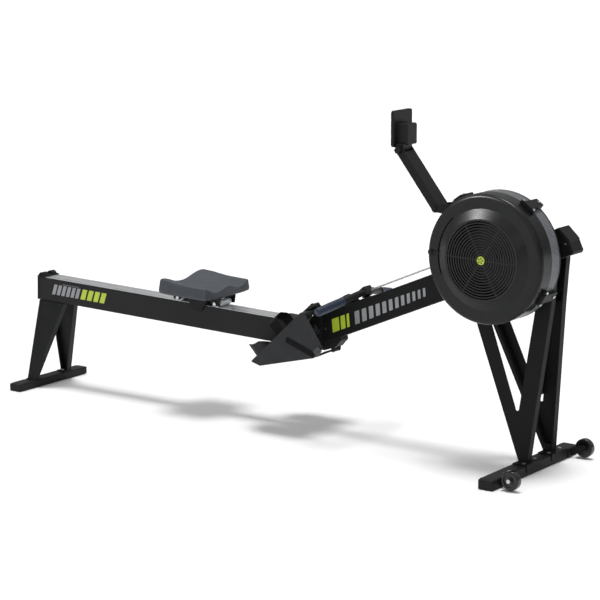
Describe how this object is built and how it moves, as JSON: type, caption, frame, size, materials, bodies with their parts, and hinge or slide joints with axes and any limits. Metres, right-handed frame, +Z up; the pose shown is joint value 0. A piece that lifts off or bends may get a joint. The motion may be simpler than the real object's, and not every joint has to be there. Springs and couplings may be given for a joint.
{
  "type": "rowing machine",
  "caption": "Air-resistance rowing machine on tall legs with a sliding seat on a rail, chain-driven flywheel, adjustable damper, foot stretchers and a tilting monitor.",
  "frame": {"origin": "on the floor under the middle of the rear foot", "axes": "+X along the rail towards the flywheel, +Y to the rower's left, +Z up"},
  "size_m": [2.5164, 0.6261, 1.259],
  "materials": {
    "frame_black": "fine-textured matte black powder coat",
    "rail_black": "matte black anodised extrusion",
    "beam_black": "matte black anodised extrusion and pressings",
    "track_steel": "satin stainless strip",
    "cap_black": "moulded matte black",
    "housing_black": "moulded satin black",
    "screen_grey": "perforated grey sheet",
    "accent_lime": "gloss lime",
    "board_grey": "moulded dark grey",
    "strap_black": "woven webbing",
    "buckle_grey": "moulded dark grey",
    "seat_slate": "moulded foam, satin slate",
    "roller_white": "turned light grey nylon",
    "bolt_steel": "zinc plated",
    "chain_steel": "nickel plated, lightly oiled",
    "grip_navy": "soft rubber sleeve",
    "handle_black": "moulded matte black",
    "cord_black": "braided sheath",
    "grille_black": "gloss black grille",
    "caster_black": "gloss black",
    "screen_glass": "dark display window",
    "accent_grey": "light grey",
    "flywheel_steel": "machined",
    "fan_black": "moulded"
  },
  "bodies": {
    "frame": {"main_beam": "beam_black", "beam_nose_cap": "cap_black", "rail_coupler": "frame_black", "monorail": "rail_black", "rail_track": "track_steel", "rail_stops": "cap_black", "rear_leg_right": "frame_black", "rear_leg_left": "frame_black", "rear_foot": "frame_black", "foot_end_caps": "cap_black", "front_leg_right": "beam_black", "front_leg_left": "beam_black", "front_foot": "frame_black", "caster_brackets": "frame_black", "housing_inner_cover": "housing_black", "housing_screen": "screen_grey", "housing_outer_cover": "housing_black", "intake_grille": "grille_black", "hub_cap": "accent_lime", "housing_clamps": "cap_black", "monitor_bracket": "frame_black", "axle_bearings": "bolt_steel", "chain_cover": "cap_black", "handle_hook": "cap_black", "drive_chain": "chain_steel", "shock_cord": "cord_black", "footboard_right": "board_grey", "footboard_left": "board_grey", "foot_straps": "strap_black", "strap_buckles": "buckle_grey", "frame_bolts": "bolt_steel"},
    "seat": {"seat_pad": "seat_slate", "seat_carriage": "frame_black", "seat_axles": "bolt_steel"},
    "seat_roller_rear": {"seat_roller_rear": "roller_white"},
    "seat_roller_front": {"seat_roller_front": "roller_white"},
    "handle": {"handle_bar": "handle_black", "handle_grips": "grip_navy", "chain_shackle": "bolt_steel"},
    "flywheel": {"flywheel_axle": "flywheel_steel", "flywheel_disc": "flywheel_steel", "fan_wheel": "fan_black"},
    "sprocket": {"drive_sprocket": "flywheel_steel"},
    "damper": {"damper_lever": "housing_black"},
    "idler_block": {"idler_block": "bolt_steel"},
    "idler_pulley": {"idler_pulley": "fan_black"},
    "cord_pulley": {"cord_pulley": "fan_black"},
    "monitor_arm": {"monitor_arm": "frame_black", "tilt_knob": "handle_black"},
    "monitor": {"monitor_housing": "handle_black", "monitor_screen": "screen_glass"},
    "button_1": {"monitor_button_1": "accent_grey"},
    "button_2": {"monitor_button_2": "accent_grey"},
    "button_3": {"monitor_button_3": "accent_grey"},
    "button_4": {"monitor_button_4": "accent_grey"},
    "heel_cup_right": {"heel_cup_right": "board_grey"},
    "heel_cup_left": {"heel_cup_left": "board_grey"},
    "caster_right": {"caster_wheel_right": "caster_black"},
    "caster_left": {"caster_wheel_left": "caster_black"},
    "frame_lock": {"frame_lock_lever": "handle_black"}
  },
  "joints": [
    {"name": "seat_slide", "type": "slide", "parent": "frame", "child": "seat", "axis": [0.9996, 0, -0.0288], "range_m": [-0.68, 0.22]},
    {"name": "seat_roller_rear_spin", "type": "hinge", "parent": "seat", "child": "seat_roller_rear", "pos_m": [0.73844, 0, 0.44926], "axis": [0, 1, 0], "continuous": true},
    {"name": "seat_roller_front_spin", "type": "hinge", "parent": "seat", "child": "seat_roller_front", "pos_m": [0.92236, 0, 0.44396], "axis": [0, 1, 0], "continuous": true},
    {"name": "handle_pull", "type": "slide", "parent": "frame", "child": "handle", "axis": [-0.9836, 0, 0.1805], "range_m": [0, 1.25], "stiffness_N_per_m": 15, "springref_m": -1.2},
    {"name": "sprocket_spin", "type": "hinge", "parent": "frame", "child": "sprocket", "pos_m": [2.222, 0, 0.771], "axis": [0, 1, 0], "continuous": true},
    {"name": "idler_travel", "type": "slide", "parent": "frame", "child": "idler_block", "axis": [0.9218, 0, 0.3877], "range_m": [0, 0.63]},
    {"name": "idler_pulley_spin", "type": "hinge", "parent": "idler_block", "child": "idler_pulley", "pos_m": [1.54626, 0, 0.43419], "axis": [0, 1, 0], "continuous": true},
    {"name": "cord_pulley_spin", "type": "hinge", "parent": "frame", "child": "cord_pulley", "pos_m": [1.47989, 0, 0.40628], "axis": [-0.3877, 0, 0.9218], "continuous": true},
    {"name": "flywheel_spin", "type": "hinge", "parent": "frame", "child": "flywheel", "pos_m": [2.222, 0, 0.771], "axis": [0, 1, 0], "continuous": true},
    {"name": "damper_turn", "type": "hinge", "parent": "frame", "child": "damper", "pos_m": [2.222, -0.186, 0.771], "axis": [0, -1, 0], "range_deg": [-42, 20]},
    {"name": "monitor_arm_fold", "type": "hinge", "parent": "frame", "child": "monitor_arm", "pos_m": [1.974, -0.086, 0.921], "axis": [0, -1, 0], "range_deg": [-12, 48]},
    {"name": "monitor_tilt", "type": "hinge", "parent": "monitor_arm", "child": "monitor", "pos_m": [1.81851, -0.086, 1.11931], "axis": [0, -1, 0], "range_deg": [-15, 20]},
    {"name": "button_1_press", "type": "slide", "parent": "monitor", "child": "button_1", "axis": [1, 0, 0], "range_m": [0, 0.0013], "stiffness_N_per_m": 250, "springref_m": -0.001},
    {"name": "button_2_press", "type": "slide", "parent": "monitor", "child": "button_2", "axis": [1, 0, 0], "range_m": [0, 0.0013], "stiffness_N_per_m": 250, "springref_m": -0.001},
    {"name": "button_3_press", "type": "slide", "parent": "monitor", "child": "button_3", "axis": [1, 0, 0], "range_m": [0, 0.0013], "stiffness_N_per_m": 250, "springref_m": -0.001},
    {"name": "button_4_press", "type": "slide", "parent": "monitor", "child": "button_4", "axis": [1, 0, 0], "range_m": [0, 0.0013], "stiffness_N_per_m": 250, "springref_m": -0.001},
    {"name": "heel_cup_right_slide", "type": "slide", "parent": "frame", "child": "heel_cup_right", "axis": [0.7349, 0, 0.6782], "range_m": [0, 0.07]},
    {"name": "heel_cup_left_slide", "type": "slide", "parent": "frame", "child": "heel_cup_left", "axis": [0.7349, 0, 0.6782], "range_m": [0, 0.07]},
    {"name": "caster_right_spin", "type": "hinge", "parent": "frame", "child": "caster_right", "pos_m": [2.424, -0.333, 0.039], "axis": [0, 1, 0], "continuous": true},
    {"name": "caster_left_spin", "type": "hinge", "parent": "frame", "child": "caster_left", "pos_m": [2.424, 0.199, 0.039], "axis": [0, 1, 0], "continuous": true},
    {"name": "frame_lock_swing", "type": "hinge", "parent": "frame", "child": "frame_lock", "pos_m": [1.46174, 0, 0.32198], "axis": [0, -1, 0], "range_deg": [0, 75]}
  ],
  "couplings": [
    {"joint": "seat_roller_rear_spin", "follows": "seat_slide", "rad_per_m": 74.074},
    {"joint": "seat_roller_front_spin", "follows": "seat_slide", "rad_per_m": 74.074},
    {"joint": "sprocket_spin", "follows": "handle_pull", "rad_per_m": -35.088},
    {"joint": "idler_travel", "follows": "handle_pull", "ratio": 0.5},
    {"joint": "idler_pulley_spin", "follows": "handle_pull", "rad_per_m": 25},
    {"joint": "cord_pulley_spin", "follows": "handle_pull", "rad_per_m": -31.25}
  ]
}
